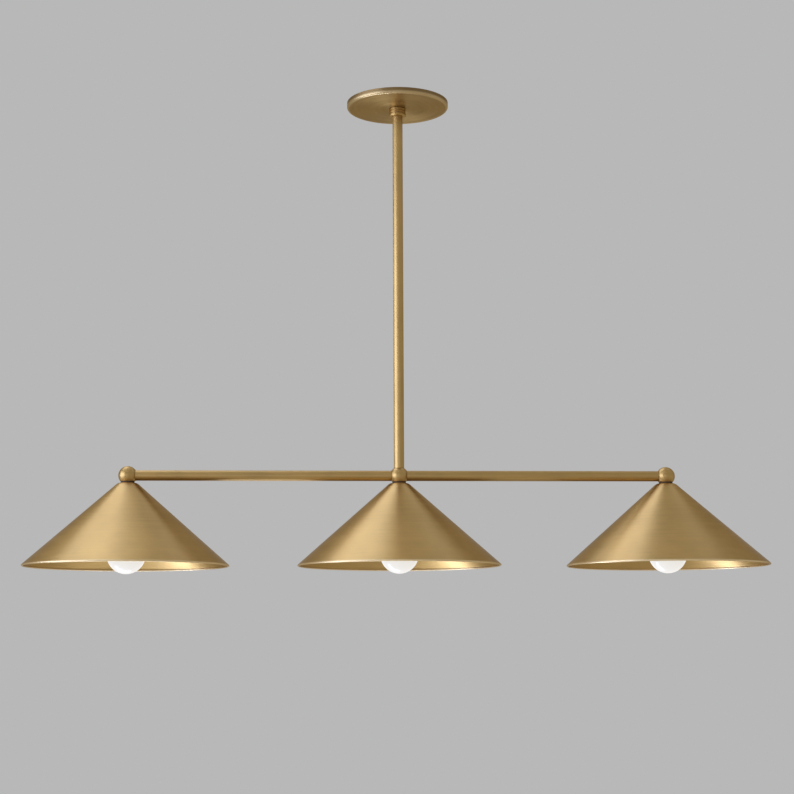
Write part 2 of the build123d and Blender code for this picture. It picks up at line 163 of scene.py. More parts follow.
# place, what it points at, width and height, watts, turn in degrees about its own aim
lampSet = {
    "keyLeft": {"at": (-2.6, -1.0, -0.2), "to": (0, 0, -0.45), "size": (3.2, 1.8), "power": 49},
    "topLeft": {"at": (-1.05, 0.95, 2.1), "to": (0, 0, -0.5), "size": (2.3, 1.8), "power": 24},
    "topRight": {"at": (0.9, 1.1, 2.1), "to": (0.2, 0, -0.5), "size": (2.2, 0.8), "power": 3},
    "topFront": {"at": (-0.6, -1.3, 1.9), "to": (0, 0, -0.5), "size": (1.4, 0.8), "power": 1.5},
    "lowPanel": {"at": (-1.07, 1.02, -2.5), "to": (-1.07, 1.02, 0), "size": (2.4, 0.72), "power": 32,
                 "turn": -22},
    "lowFront": {"at": (-1.1, -2.3, -2.2), "to": (0, 0, -0.5), "size": (1.4, 1.2), "power": 1.1},
    "frontFill": {"at": (-0.7, -3.4, -0.5), "to": (0, 0, -0.5), "size": (1.8, 1.2), "power": 4},
}
lampColour = (0.82, 0.98, 1.46)


def makeLamps():
    for name, lamp in lampSet.items():
        bpy.ops.object.light_add(type="AREA", location=lamp["at"])
        light = bpy.context.active_object
        light.name = name
        aim = Vector(lamp["to"]) - Vector(lamp["at"])
        turn = Quaternion((0, 0, 1), radians(lamp.get("turn", 0)))
        light.rotation_euler = (aim.to_track_quat("-Z", "Y") @ turn).to_euler()
        light.data.shape = "RECTANGLE"
        light.data.size, light.data.size_y = lamp["size"]
        light.data.energy = lamp["power"]
        light.data.color = lampColour
        light.visible_camera = False


makeFloor()
makeWorld()
makeLamps()
bpy.context.scene.view_settings.view_transform = "Standard"
print("floor, background and lamps ready")


def addNoise(tree, vector, scale, detail, roughness=0.6):
    noise = addNode(tree, "ShaderNodeTexNoise")
    noise.inputs["Scale"].default_value = scale
    noise.inputs["Detail"].default_value = detail
    noise.inputs["Roughness"].default_value = roughness
    tree.links.new(vector, noise.inputs["Vector"])
    return noise.outputs["Fac"]


def spread(tree, value, low, high, fromLow=0.25, fromHigh=0.75):
    node = addNode(tree, "ShaderNodeMapRange")
    node.inputs["From Min"].default_value = fromLow
    node.inputs["From Max"].default_value = fromHigh
    node.inputs["To Min"].default_value = low
    node.inputs["To Max"].default_value = high
    tree.links.new(value, node.inputs["Value"])
    return node.outputs[0]


def mixColours(tree, factor, first, second):
    node = addNode(tree, "ShaderNodeMix", data_type="RGBA")
    tree.links.new(factor, node.inputs["Factor"])
    node.inputs["A"].default_value = (*first, 1)
    node.inputs["B"].default_value = (*second, 1)
    return node.outputs["Result"]


def addBump(tree, shader, height, distance):
    bump = addNode(tree, "ShaderNodeBump")
    bump.inputs["Distance"].default_value = distance
    tree.links.new(height, bump.inputs["Height"])
    tree.links.new(bump.outputs[0], shader.inputs["Normal"])


brassSet = {
    "colour": (0.512, 0.323, 0.107),
    "paintedShade": (0.20, 0.115, 0.035),  # painted shade: darker brass on the canopy's side wall and under the bar
    "paintedHighlight": (0.90, 0.70, 0.40),  # painted highlight on the shades' rim beads and the canopy's corner
    "edgeTint": (0.54, 0.42, 0.26, 1),
    "lines": 270,  # brushing lines per metre, coarsest
    "lineDetail": 5,
    "lineContrast": 0.75,
    "lineSwing": 0.21,  # how far a line is lighter or darker
    "clouds": 14,  # slow changes of tone, per metre
    "cloudDetail": 3,
    "toneSpan": (0.3, 0.7),
    "bandShare": (0.7, 1),  # how far the clouds let a band through
    "roughness": (0.31, 0.48),
    "lineHeight": 0.000012,
    "anisotropy": 0.6,
    "coat": 0.35,
    "coatRoughness": 0.3,
    "canopyShadeShare": 0.78,  # painted shade: share of the colour that is left on the darker canopy
}
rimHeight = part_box("centre_shade")[0].z - barZ

# bands of painted highlight and painted shade: the measure, where the band starts and is full, how much of
# it, and the tone
bandSet = {
    # painted highlight on each shade's rim bead
    "shadeRim": ("along", (rimHeight + 0.0025, rimHeight + 0.0014), 1, "paintedHighlight"),
    # painted highlight along the canopy's rounded corner
    "canopyEdge": ("distance", (0.0606, 0.0620), 0.4, "paintedHighlight"),
    # painted shade on the canopy's side wall
    "canopyWall": ("along", (-0.0052, -0.0032), 1, "paintedShade"),
    # painted shade along the bar's underside
    "barUnderside": ("across", (0.0033, 0.0054), 0.5, "paintedShade"),
}


# Grain "round" runs round the piece, as on a lathe, and "long" runs along a tube.
# Bands of painted highlight and painted shade go over one another in their order
def brushedBrass(name, centre, axis="Z", grain="round", depth=1, bands=()):
    material, tree = newMaterial(name)
    shader = tree.nodes["Principled BSDF"]
    shader.inputs["Metallic"].default_value = 1
    shader.inputs["Specular Tint"].default_value = brassSet["edgeTint"]
    shader.inputs["Anisotropic"].default_value = brassSet["anisotropy"]
    shader.inputs["Anisotropic Rotation"].default_value = 0.25 if grain == "round" else 0
    shader.inputs["Coat Weight"].default_value = brassSet["coat"]
    shader.inputs["Coat Roughness"].default_value = brassSet["coatRoughness"]
    place = addNode(tree, "ShaderNodeTexCoord").outputs["Object"]
    centred = addNode(tree, "ShaderNodeMapping", vector_type="TEXTURE")
    centred.inputs["Location"].default_value = centre
    if axis == "X":
        centred.inputs["Rotation"].default_value = (0, radians(90), 0)
    tree.links.new(place, centred.inputs["Vector"])
    split = addNode(tree, "ShaderNodeSeparateXYZ")
    tree.links.new(centred.outputs[0], split.inputs[0])
    across, deep, along = split.outputs
    squares = [joinMath(tree, "MULTIPLY", value, value) for value in (across, deep)]
    distance = joinMath(tree, "POWER", joinMath(tree, "ADD", *squares), 0.5)  # from the axis
    lineScale, slowScale = brassSet["lines"], brassSet["clouds"]
    if grain == "round":
        turnedPlace = joinMath(tree, "SUBTRACT", along, distance)
        scales = [(across, slowScale), (deep, slowScale), (turnedPlace, lineScale)]
    else:
        scales = [(across, lineScale), (deep, lineScale), (along, slowScale)]
    stretched = addNode(tree, "ShaderNodeCombineXYZ")
    for socket, (value, scale) in zip(stretched.inputs, scales):
        tree.links.new(joinMath(tree, "MULTIPLY", value, scale), socket)
    lines = addNoise(tree, stretched.outputs[0], 1, brassSet["lineDetail"], brassSet["lineContrast"])
    clouds = addNoise(tree, centred.outputs[0], slowScale, brassSet["cloudDetail"])
    # a depth below 1 darkens the whole colour, as painted shade on the canopy
    colour = [value * depth for value in brassSet["colour"]]
    swing = brassSet["lineSwing"]
    tone = joinMath(tree, "MULTIPLY", joinMath(tree, "ADD", lines, clouds), 0.5)
    base = mixColours(tree, spread(tree, tone, 0, 1, *brassSet["toneSpan"]),
                      [value * (1 - swing) for value in colour], [value * (1 + swing) for value in colour])
    measures = {"across": across, "along": along, "distance": distance}
    for band in bands:
        measure, span, amount, tint = bandSet[band]
        change = addNode(tree, "ShaderNodeMix", data_type="RGBA")
        reach = spread(tree, measures[measure], 0, amount, *span)
        share = spread(tree, clouds, *brassSet["bandShare"])
        tree.links.new(joinMath(tree, "MULTIPLY", reach, share), change.inputs["Factor"])
        tree.links.new(base, change.inputs["A"])
        change.inputs["B"].default_value = (*brassSet[tint], 1)
        base = change.outputs["Result"]
    tree.links.new(base, shader.inputs["Base Color"])
    tree.links.new(spread(tree, lines, *brassSet["roughness"]), shader.inputs["Roughness"])
    addBump(tree, shader, lines, brassSet["lineHeight"])
    tangent = addNode(tree, "ShaderNodeTangent", direction_type="RADIAL", axis=axis)
    tree.links.new(tangent.outputs[0], shader.inputs["Tangent"])
    return material


# dark and light tone, gloss from smooth to rough, spots per metre, depth of the grain
finishSet = {
    "zincSteel": {"tones": ((0.40, 0.41, 0.41), (0.60, 0.60, 0.57)), "metal": 1, "rough": (0.25, 0.48),
                  "spots": 260, "depth": 0.00002},
    "blackSteel": {"tones": ((0.015, 0.015, 0.017), (0.05, 0.048, 0.046)), "metal": 1, "rough": (0.3, 0.5),
                   "spots": 900, "depth": 0.00001},
    "greenScrew": {"tones": ((0.01, 0.16, 0.045), (0.03, 0.27, 0.09)), "metal": 0.7, "rough": (0.25, 0.45),
                   "spots": 500, "depth": 0.00001},
    "fibreWasher": {"tones": ((0.03, 0.014, 0.004), (0.09, 0.042, 0.012)), "metal": 0, "rough": (0.6, 0.9),
                    "spots": 1500, "depth": 0.00003},
    "porcelainGlaze": {"tones": ((0.74, 0.73, 0.69), (0.82, 0.81, 0.78)), "metal": 0, "rough": (0.08, 0.22),
                       "spots": 180, "depth": 0.00004, "coat": 0.6},
    "stampedBrass": {"tones": ((0.55, 0.37, 0.14), (0.72, 0.52, 0.23)), "metal": 1, "rough": (0.18, 0.36),
                     "spots": 320, "depth": 0.00001},
    "capMetal": {"tones": ((0.52, 0.52, 0.50), (0.68, 0.68, 0.66)), "metal": 1, "rough": (0.2, 0.36),
                 "spots": 400, "depth": 0.00001},
    "capGlass": {"tones": ((0.006, 0.006, 0.008), (0.02, 0.02, 0.024)), "metal": 0, "rough": (0.05, 0.16),
                 "spots": 300, "depth": 0.00002, "coat": 0.5},
    "softSolder": {"tones": ((0.38, 0.38, 0.37), (0.60, 0.60, 0.59)), "metal": 1, "rough": (0.25, 0.55),
                   "spots": 700, "depth": 0.00004},
    "whiteBoard": {"tones": ((0.70, 0.70, 0.68), (0.80, 0.80, 0.78)), "metal": 0, "rough": (0.35, 0.5),
                   "spots": 900, "depth": 0.00001},
    "blackLead": {"tones": ((0.012, 0.012, 0.013), (0.03, 0.03, 0.031)), "metal": 0, "rough": (0.4, 0.6),
                  "spots": 1200, "depth": 0.00001},
    "whiteLead": {"tones": ((0.66, 0.65, 0.62), (0.78, 0.77, 0.74)), "metal": 0, "rough": (0.4, 0.6),
                  "spots": 1200, "depth": 0.00001},
    "copperStrand": {"tones": ((0.55, 0.22, 0.10), (0.78, 0.38, 0.20)), "metal": 1, "rough": (0.2, 0.4),
                     "spots": 1500, "depth": 0.000005},
}


grainSet = {
    "broad": 0.25,  # times the spots per metre
    "broadDetail": 4,
    "fine": 4,
    "fineDetail": 6,
    "fineContrast": 0.7,
    "toneSpan": (0.35, 0.65),
}


def mottledFinish(name):
    look = finishSet[name]
    material, tree = newMaterial(name)
    shader = tree.nodes["Principled BSDF"]
    shader.inputs["Metallic"].default_value = look["metal"]
    shader.inputs["Coat Weight"].default_value = look.get("coat", 0)
    place = addNode(tree, "ShaderNodeTexCoord").outputs["Object"]
    broad = addNoise(tree, place, look["spots"] * grainSet["broad"], grainSet["broadDetail"])
    fine = addNoise(tree, place, look["spots"] * grainSet["fine"], grainSet["fineDetail"],
                    grainSet["fineContrast"])
    tone = joinMath(tree, "MULTIPLY", joinMath(tree, "ADD", broad, fine), 0.5)
    tree.links.new(mixColours(tree, spread(tree, tone, 0, 1, *grainSet["toneSpan"]), *look["tones"]),
                   shader.inputs["Base Color"])
    tree.links.new(spread(tree, broad, *look["rough"]), shader.inputs["Roughness"])
    addBump(tree, shader, tone, look["depth"])
    return material


opalSet = {
    "tones": ((0.22, 0.218, 0.214), (0.25, 0.248, 0.243)),
    "roughness": (0.16, 0.28),
    "glow": (1, 0.965, 0.91, 1),
    "strength": 0.70,
    "ripples": 60,  # per metre
    "rippleDetail": 3,
    "rippleDepth": 0.00003,
}


def litOpalGlass():  # opal glass, softly lit from inside
    material, tree = newMaterial("litOpalGlass")
    shader = tree.nodes["Principled BSDF"]
    shader.inputs["Emission Color"].default_value = opalSet["glow"]
    shader.inputs["Emission Strength"].default_value = opalSet["strength"]
    place = addNode(tree, "ShaderNodeTexCoord").outputs["Object"]
    ripple = addNoise(tree, place, opalSet["ripples"], opalSet["rippleDetail"])
    tree.links.new(mixColours(tree, ripple, *opalSet["tones"]), shader.inputs["Base Color"])
    tree.links.new(spread(tree, ripple, *opalSet["roughness"]), shader.inputs["Roughness"])
    addBump(tree, shader, ripple, opalSet["rippleDepth"])
    return material


finishes = {name: mottledFinish(name) for name in finishSet}
finishes["litOpalGlass"] = litOpalGlass()
# painted shade: the canopy's brass is darker overall, with a painted highlight on its corner and painted
# shade on its wall
shadedCeilingBrass = brushedBrass("shadedCeilingBrass", (0, 0, 0), depth=brassSet["canopyShadeShare"],
                            bands=("canopyEdge", "canopyWall"))
stemBrass = brushedBrass("stemBrass", (0, 0, barZ), grain="long")
# painted shade along the bar's underside
barBrass = brushedBrass("barBrass", (0, 0, barZ), axis="X", grain="long", bands=("barUnderside",))
# painted highlight: each shade's rim bead is mixed to a bright tone
lampBrass = {side: brushedBrass(side + "LampBrass", (lampX[side], 0, barZ), bands=("shadeRim",))
             for side in sides}
print("finishes ready")


def paint(node, material):
    nodes[node].data.materials.clear()
    nodes[node].data.materials.append(material)


framePaint = {
    "canopy": shadedCeilingBrass,
    "collar": brushedBrass("collarBrass", (0, 0, 0)),
    "stem_tube": stemBrass,
    "left_arm_tube": barBrass,
    "right_arm_tube": barBrass,
    "collar_set_screw": finishes["blackSteel"],
    "frame_nipples": finishes["zincSteel"],
    "lamp_nipples": finishes["zincSteel"],
    "lock_washers": finishes["zincSteel"],
    "bridge_screws": finishes["zincSteel"],
    "seat_washers": finishes["fibreWasher"],
    "terminal_screws": finishes["stampedBrass"],
}
lampPaint = {  # the same on each lamp
    "socket_bridge": "zincSteel",
    "socket_body": "porcelainGlaze",
    "centre_contact": "stampedBrass",
    "bulb_globe": "litOpalGlass",
    "bulb_insulator": "capGlass",
    "bulb_tip": "softSolder",
    "light_board": "whiteBoard",
    "live_wire": "blackLead",
    "neutral_wire": "whiteLead",
}
for node, material in framePaint.items():
    paint(node, material)
for side in sides:
    paint(side + "_ball", lampBrass[side])
    paint(side + "_socket_cup", lampBrass[side])
    for part, finish in lampPaint.items():
        paint(f"{side}_{part}", finishes[finish])
print("frame painted")

mergeGap = 0.000003  # closer points are one point
axisGap = 0.00002  # a solid turned piece starts this far off its axis, and is then filled


def makeActive(*pieces):
    bpy.ops.object.select_all(action="DESELECT")
    for piece in pieces:
        piece.select_set(True)
    bpy.context.view_layer.objects.active = pieces[0]


def openEdit():
    bpy.ops.object.mode_set(mode="EDIT")
    bpy.ops.mesh.select_all(action="SELECT")


def closeEdit():
    bpy.ops.mesh.select_all(action="SELECT")
    bpy.ops.mesh.remove_doubles(threshold=mergeGap)
    bpy.ops.mesh.normals_make_consistent(inside=False)
    bpy.ops.object.mode_set(mode="OBJECT")


def applyModifiers(piece):
    makeActive(piece)
    for modifier in list(piece.modifiers):
        bpy.ops.object.modifier_apply(modifier=modifier.name)


def arc(centre, radius, start, end, count):  # points on a round, angles in degrees
    turns = [radians(start + (end - start) * step / count) for step in range(count + 1)]
    return [(centre[0] + radius * cos(turn), centre[1] + radius * sin(turn)) for turn in turns]


def turned(outline, steps=96):  # a circle drawn through the outline's radii and heights
    bpy.ops.object.select_all(action="DESELECT")
    radius, height = outline[0]
    bpy.ops.mesh.primitive_circle_add(vertices=steps, radius=radius, location=(0, 0, height))
    openEdit()
    for nextRadius, nextHeight in outline[1:]:
        rise = {"value": (0, 0, nextHeight - height)}
        bpy.ops.mesh.extrude_region_move(TRANSFORM_OT_translate=rise)
        growth = nextRadius / radius
        bpy.ops.transform.resize(value=(growth, growth, 1), center_override=(0, 0, nextHeight))
        radius, height = nextRadius, nextHeight
    if outline[0] != outline[-1]:
        bpy.ops.mesh.select_all(action="SELECT")
        bpy.ops.mesh.fill_holes(sides=0)
    closeEdit()
    return bpy.context.active_object


def carve(piece, tool, operation="DIFFERENCE"):
    cut = piece.modifiers.new("cut", "BOOLEAN")
    cut.operation = operation
    cut.object = tool
    applyModifiers(piece)
    bpy.data.objects.remove(tool)


def softenEdges(piece, width, segments=2, sharper=40):
    bevel = piece.modifiers.new("soften", "BEVEL")
    bevel.width = width
    bevel.segments = segments
    bevel.limit_method = "ANGLE"
    bevel.angle_limit = radians(sharper)
    applyModifiers(piece)


def joinPieces(*pieces):
    makeActive(*pieces)
    bpy.ops.object.join()
    return bpy.context.active_object


def finishPiece(piece, name, body, material, stands, smooth=35):
    makeActive(piece)
    bpy.ops.object.transform_apply(location=True, rotation=True, scale=True)
    bpy.ops.object.shade_smooth_by_angle(angle=radians(smooth))
    level = piece.modifiers.new("level", "WEIGHTED_NORMAL")  # flat faces stay flat beside soft edges
    level.keep_sharp = True
    applyModifiers(piece)
    piece.name = name
    piece.data.name = name
    piece.data.materials.clear()
    piece.data.materials.append(material)
    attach(piece, body)
    if stands:
        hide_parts(*stands)


def copyAt(piece, x):
    makeActive(piece)
    bpy.ops.object.duplicate(linked=False)
    bpy.ops.transform.translate(value=(x, 0, 0))
    return bpy.context.active_object


threadSet = {
    "pipePitch": 0.00094,  # 27 turns to the inch
    "pipeDepth": 0.00045,
    "screwPitch": 0.00079,  # 32 turns to the inch
    "screwDepth": 0.0004,
    "sink": 0.00003,  # how far the thread starts inside its core
    "endShare": 0.97,  # the trimmed ends are drawn in to this share of the root
}


# A V is drawn along a screw line round the upright axis and trimmed at both ends
def threadSheet(root, crest, pitch, low, high, steps, rounded=False, closed=True):
    bpy.ops.object.select_all(action="DESELECT")
    bpy.ops.mesh.primitive_circle_add(vertices=3, radius=pitch / sqrt(3), location=(0, 0, low - pitch),
                                      rotation=(radians(90), radians(90), 0))
    sheet = bpy.context.active_object
    bpy.ops.object.transform_apply(location=True, rotation=True, scale=True)
    flatten = (crest - root) / (pitch * sqrt(3) / 2)
    for edge in sheet.data.edges:
        edge.select = all(sheet.data.vertices[end].co.x < 0 for end in edge.vertices)
    bpy.context.tool_settings.mesh_select_mode = (False, True, False)
    bpy.ops.object.mode_set(mode="EDIT")
    bpy.ops.mesh.delete(type="EDGE")
    bpy.context.tool_settings.mesh_select_mode = (True, False, False)
    bpy.ops.mesh.select_all(action="SELECT")
    bpy.ops.transform.resize(value=(flatten, 1, 1), center_override=(0, 0, low - pitch))
    bpy.ops.transform.translate(value=(root + (crest - root) / 3, 0, 0))
    bpy.ops.object.mode_set(mode="OBJECT")
    wind = sheet.modifiers.new("wind", "SCREW")
    wind.axis = "Z"
    wind.screw_offset = pitch
    wind.iterations = ceil((high - low) / pitch) + 2
    wind.steps = wind.render_steps = steps
    wind.use_merge_vertices = True
    if rounded:
        rounding = sheet.modifiers.new("rounding", "SUBSURF")
        rounding.levels = rounding.render_levels = 1
    applyModifiers(sheet)
    openEdit()
    inward = threadSet["endShare"] * root / crest
    for height, way in ((high, 1), (low, -1)):
        bpy.ops.mesh.select_all(action="SELECT")
        bpy.ops.mesh.bisect(plane_co=(0, 0, height), plane_no=(0, 0, way), clear_outer=True)
        if closed:  # the cut is drawn in, to end inside the core
            bpy.ops.mesh.extrude_region_move()
            bpy.ops.transform.resize(value=(inward, inward, 1), center_override=(0, 0, height))
    closeEdit()
    faces = sheet.data.polygons
    if sum(face.normal.x * face.center.x + face.normal.y * face.center.y for face in faces) < 0:
        openEdit()
        bpy.ops.mesh.flip_normals()
        bpy.ops.object.mode_set(mode="OBJECT")
    return sheet


shadeSet = {
    "wall": 0.0012,
    "slope": 41.65,  # degrees below level
    "shoulderRound": 0.008,
    "flatRadius": 0.00836,  # where the crown's flat top starts to round
    "holeRadius": 0.00515,
    "beadRadius": 0.00115,  # the rim is curled into a bead
    "beadSteps": 14,
    "shoulderSteps": 6,
    "steps": 160,
}


def shadeOutline(rimRadius, rimZ, topZ):
    wall, bead = shadeSet["wall"], shadeSet["beadRadius"]
    flat, shoulder = shadeSet["flatRadius"], shadeSet["shoulderRound"]
    leaving = 90 - shadeSet["slope"]  # direction square to the side of the cone
    outside = arc((flat, topZ - shoulder), shoulder, 90, leaving, shadeSet["shoulderSteps"])
    inside = arc((flat, topZ - shoulder), shoulder - wall, leaving, 90, shadeSet["shoulderSteps"])
    curl = degrees(pi / 2 + atan2(wall - bead, sqrt(bead ** 2 - (wall - bead) ** 2)))
    rim = arc((rimRadius - bead, rimZ + bead), bead, leaving, leaving - 360 + curl, shadeSet["beadSteps"])
    hole = shadeSet["holeRadius"]
    return [(hole, topZ)] + outside + rim + inside + [(hole, topZ - wall), (hole, topZ)]


def makeShades():
    low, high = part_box("centre_shade")
    shade = turned(shadeOutline(radiusOf("centre_shade"), low.z, high.z), shadeSet["steps"])
    for side in sides:
        piece = copyAt(shade, lampX[side])
        finishPiece(piece, side + "_spun_shade", "fixture", lampBrass[side],
                    [side + "_shade"])
    bpy.data.objects.remove(shade)


makeShades()
print("shades spun")

crossbarSet = {
    "slotLength": 0.0144,
    "slotWidth": 0.0048,
    "slotSpacing": 0.0794,
    "middleHole": 0.00515,
    "screwHole": 0.0021,
    "edgeRound": 0.0003,
}


def roundEnded(length, width, low, high, segments=20):  # a bar whose ends are full rounds
    bpy.ops.object.select_all(action="DESELECT")
    bpy.ops.mesh.primitive_cube_add(size=1, location=(0, 0, (low + high) / 2),
                                    scale=(length, width, high - low))
    bar = bpy.context.active_object
    bpy.ops.object.transform_apply(location=True, rotation=True, scale=True)
    for face in bar.data.polygons:
        face.select = False
    for edge in bar.data.edges:
        first, second = (bar.data.vertices[end].co for end in edge.vertices)
        edge.select = abs(first.z - second.z) > (high - low) / 2
    bpy.context.tool_settings.mesh_select_mode = (False, True, False)
    bpy.ops.object.mode_set(mode="EDIT")
    bpy.ops.mesh.bevel(offset=width / 2 - mergeGap, segments=segments, affect="EDGES")
    bpy.context.tool_settings.mesh_select_mode = (True, False, False)
    closeEdit()
    return bar


def drill(piece, radius, x, low, high, steps=48):
    bpy.ops.object.select_all(action="DESELECT")
    bpy.ops.mesh.primitive_cylinder_add(
        vertices=steps, radius=radius, depth=2 * (high - low), location=(x, 0, (low + high) / 2))
    carve(piece, bpy.context.active_object)


def makeCrossbar():
    low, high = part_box("crossbar")
    bar = roundEnded(high.x - low.x, high.y - low.y, low.z, high.z)
    for way in (-1, 1):
        slot = roundEnded(crossbarSet["slotLength"], crossbarSet["slotWidth"], 2 * low.z, -low.z)
        makeActive(slot)
        bpy.ops.transform.translate(value=(way * crossbarSet["slotSpacing"] / 2, 0, 0))
        carve(bar, slot)
    drill(bar, crossbarSet["middleHole"], 0, low.z, high.z)
    drill(bar, crossbarSet["screwHole"], middleOf("ground_screw").x, low.z, high.z)
    softenEdges(bar, crossbarSet["edgeRound"])
    finishPiece(bar, "stamped_crossbar", "ceiling_bracket", finishes["zincSteel"],
                ["crossbar"])


nippleSet = {
    "bore": 0.0036,
    "lead": 0.0006,  # the ends are turned down to the root of the thread
    "chamfer": 0.0003,
    "steps": 64,
    "threadSteps": 36,
    "smooth": 30,
}


def makeNipple():
    low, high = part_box("crossbar_nipple")
    crest, bore, lead = radiusOf("crossbar_nipple"), nippleSet["bore"], nippleSet["lead"]
    root = crest - threadSet["pipeDepth"]
    end = root - nippleSet["chamfer"]
    core = turned([(bore, low.z), (end, low.z), (root, low.z + lead / 2), (root, high.z - lead / 2),
                   (end, high.z), (bore, high.z), (bore, low.z)], nippleSet["steps"])
    sheet = threadSheet(root - threadSet["sink"], crest, threadSet["pipePitch"], low.z + lead,
                        high.z - lead, nippleSet["threadSteps"])
    nipple = joinPieces(core, sheet)
    finishPiece(nipple, "threaded_ceiling_nipple", "ceiling_bracket", finishes["zincSteel"],
                ["crossbar_nipple"], nippleSet["smooth"])


locknutSet = {
    "bore": 0.00512,
    "chamferAngle": 30,  # the corners are turned off, in degrees
    "chamferFrom": 0.98,  # share of half the flats
    "barrel": 0.62,  # radius past the corners, share of the flats
    "barrelCone": 0.0006,  # how far its ends rise towards the middle
    "barrelCore": 0.001,
    "edgeRound": 0.0002,
}


def hexBlock(flats, low, high):
    bpy.ops.object.select_all(action="DESELECT")
    bpy.ops.mesh.primitive_cylinder_add(
        vertices=6, radius=flats / sqrt(3), depth=high - low, location=(0, 0, (low + high) / 2),
        rotation=(0, 0, radians(30)))
    block = bpy.context.active_object
    bpy.ops.object.transform_apply(location=True, rotation=True, scale=True)
    return block


def makeLocknut():
    low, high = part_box("crossbar_locknut")
    flats = high.y - low.y
    nut = hexBlock(flats, low.z, high.z)
    cone, core, wide = locknutSet["barrelCone"], locknutSet["barrelCore"], flats * locknutSet["barrel"]
    face = flats / 2 * locknutSet["chamferFrom"]
    rise = (wide - face) * tan(radians(locknutSet["chamferAngle"]))
    barrel = turned([(core, low.z - cone), (face, low.z), (wide, low.z + rise), (wide, high.z - rise),
                     (face, high.z), (core, high.z + cone), (core, low.z - cone)])
    carve(nut, barrel, "INTERSECT")
    drill(nut, locknutSet["bore"], 0, low.z, high.z)
    softenEdges(nut, locknutSet["edgeRound"])
    finishPiece(nut, "chamfered_locknut", "ceiling_bracket", finishes["zincSteel"],
                ["crossbar_locknut"])


toothSet = {
    "teeth": 14,
    "bore": 0.00515,
    "ringRadius": 0.0068,
    "width": 0.0020,
    "thickness": 0.00035,
    "root": 0.0003,  # how far a tooth starts inside the ring
    "twist": 11,  # degrees
    "edgeRound": 0.00008,
    "steps": 84,
}


def makeLockWasher():
    low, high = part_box("crossbar_lock_washer")
    middle, outer = (low.z + high.z) / 2, radiusOf("crossbar_lock_washer")
    ring, bore, half = toothSet["ringRadius"], toothSet["bore"], toothSet["thickness"] / 2
    washer = turned([(bore, middle - half), (ring, middle - half), (ring, middle + half),
                     (bore, middle + half), (bore, middle - half)], toothSet["steps"])
    reach = outer - ring + toothSet["root"]
    bpy.ops.object.select_all(action="DESELECT")
    bpy.ops.mesh.primitive_cube_add(size=1, location=(outer - reach / 2, 0, middle),
                                    scale=(reach, toothSet["width"], 2 * half))
    tooth = bpy.context.active_object
    bpy.ops.object.transform_apply(location=True, rotation=True, scale=True)
    openEdit()
    bpy.ops.transform.rotate(value=radians(toothSet["twist"]), orient_axis="X",
                             center_override=(0, 0, middle))
    closeEdit()
    softenEdges(tooth, toothSet["edgeRound"], 1)
    for number in range(toothSet["teeth"]):
        makeActive(tooth)
        bpy.ops.object.duplicate(linked=False)
        bpy.ops.transform.rotate(value=radians(360 * number / toothSet["teeth"]), orient_axis="Z",
                                 center_override=(0, 0, 0))
        washer = joinPieces(washer, bpy.context.active_object)
    bpy.data.objects.remove(tooth)
    finishPiece(washer, "toothed_lock_washer", "ceiling_bracket", finishes["zincSteel"],
                ["crossbar_lock_washer"])


earthScrewSet = {
    "flangeHeight": 0.0007,
    "flats": 1.6,  # of the hexagon, in flange radii
    "slotLength": 3,  # in flange radii, right across
    "slotWidth": 0.0009,
    "slotDepth": 0.0010,
    "edgeRound": 0.0002,
    "play": 0.0001,  # between the thread and its hole
    "tipLength": 0.0003,
    "tipTurn": 0.0004,
    "steps": 48,
    "threadSteps": 24,
}


def makeEarthScrew():
    low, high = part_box("ground_screw")
    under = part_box("crossbar")[0].z
    x, headRadius = middleOf("ground_screw").x, (high.y - low.y) / 2
    flange, crest = earthScrewSet["flangeHeight"], crossbarSet["screwHole"] - earthScrewSet["play"]
    head = hexBlock(headRadius * earthScrewSet["flats"], low.z, under)
    bpy.ops.object.select_all(action="DESELECT")
    slotLength = earthScrewSet["slotLength"] * headRadius
    bpy.ops.mesh.primitive_cube_add(size=1, location=(0, 0, low.z), scale=(
        slotLength, earthScrewSet["slotWidth"], 2 * earthScrewSet["slotDepth"]))
    carve(head, bpy.context.active_object)
    softenEdges(head, earthScrewSet["edgeRound"])
    root = crest - threadSet["screwDepth"]
    threadEnd = high.z - earthScrewSet["tipLength"]
    shank = turned([(axisGap, under - flange), (headRadius, under - flange), (headRadius, under),
                    (root, under), (root, threadEnd), (root - earthScrewSet["tipTurn"], high.z),
                    (axisGap, high.z)], earthScrewSet["steps"])
    sheet = threadSheet(root - threadSet["sink"], crest, threadSet["screwPitch"], under, threadEnd,
                        earthScrewSet["threadSteps"])
    screw = joinPieces(head, shank, sheet)
    bpy.ops.transform.translate(value=(x, 0, 0))
    finishPiece(screw, "slotted_earth_screw", "ceiling_bracket", finishes["greenScrew"],
                ["ground_screw"])


makeCrossbar()
makeNipple()
makeLocknut()
makeLockWasher()
makeEarthScrew()
print("ceiling hardware ready")

lampThreadSet = {
    "pitch": 0.00363,  # 7 turns to the inch
    "deepen": 3,  # rounding draws the V in to a third of its depth, so it starts that much deeper
    "steps": 48,
    "smooth": 50,
}


def roundedThread(root, crest, low, high, closed=True):
    middle, deep = (root + crest) / 2, lampThreadSet["deepen"] / 2 * (crest - root)
    return threadSheet(middle - deep, middle + deep, lampThreadSet["pitch"], low, high,
                       lampThreadSet["steps"], rounded=True, closed=closed)


capSet = {
    "rootRadius": 0.01225,
    "wall": 0.0004,
    "shoulder": (0.0008, 0.0002),  # round of the upper corner, outwards and down
    "plainSkirt": 0.0048,  # below the last turn
    "skirtFlare": 0.0007,
    "threadBelow": 0.0004,  # how far the thread runs past both its ends
    "threadAbove": 0.0008,
}


